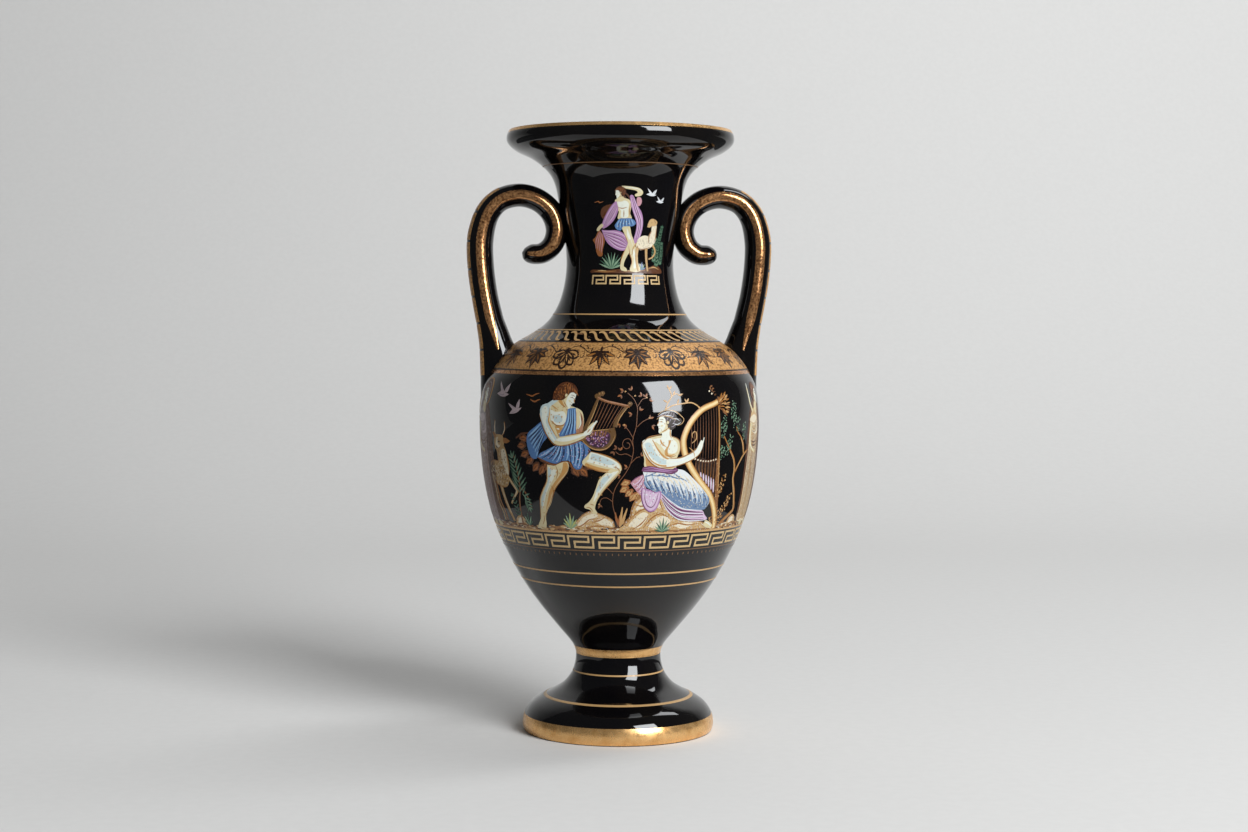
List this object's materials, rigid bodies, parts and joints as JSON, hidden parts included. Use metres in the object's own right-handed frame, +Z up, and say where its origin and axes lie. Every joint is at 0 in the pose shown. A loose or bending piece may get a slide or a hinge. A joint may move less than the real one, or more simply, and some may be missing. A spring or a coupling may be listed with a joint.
{
  "type": "amphora",
  "caption": "Pedestal amphora vase with a flared mouth, narrow neck, ovoid belly, hollow foot and two scroll handles, black glazed with gold bands and painted figures.",
  "frame": {"origin": "centre of the foot ring, on the surface the vase stands on", "axes": "+Z up along the axis of the vase, X through both handles, -Y towards the painted front"},
  "size_m": [0.1524, 0.14, 0.3],
  "materials": {
    "body_glaze": "gloss black glaze with painted enamel figures and gold bands",
    "foot_glaze": "gloss black glaze with a wide gold band at the base",
    "handle_glaze": "gloss black glaze with brushed gold along each side",
    "gilding": "thin fired gold, brushed on as bands, lines and handle stripes, worn brown in specks",
    "enamel": "satin painted enamel of the figure scenes, in cream, blue, lilac, green and brown"
  },
  "bodies": {
    "root": {"foot": "foot_glaze", "belly": "body_glaze", "shoulder": "body_glaze", "neck": "body_glaze", "mouth": "body_glaze", "handle_left": "handle_glaze", "handle_right": "handle_glaze"}
  },
  "joints": []
}
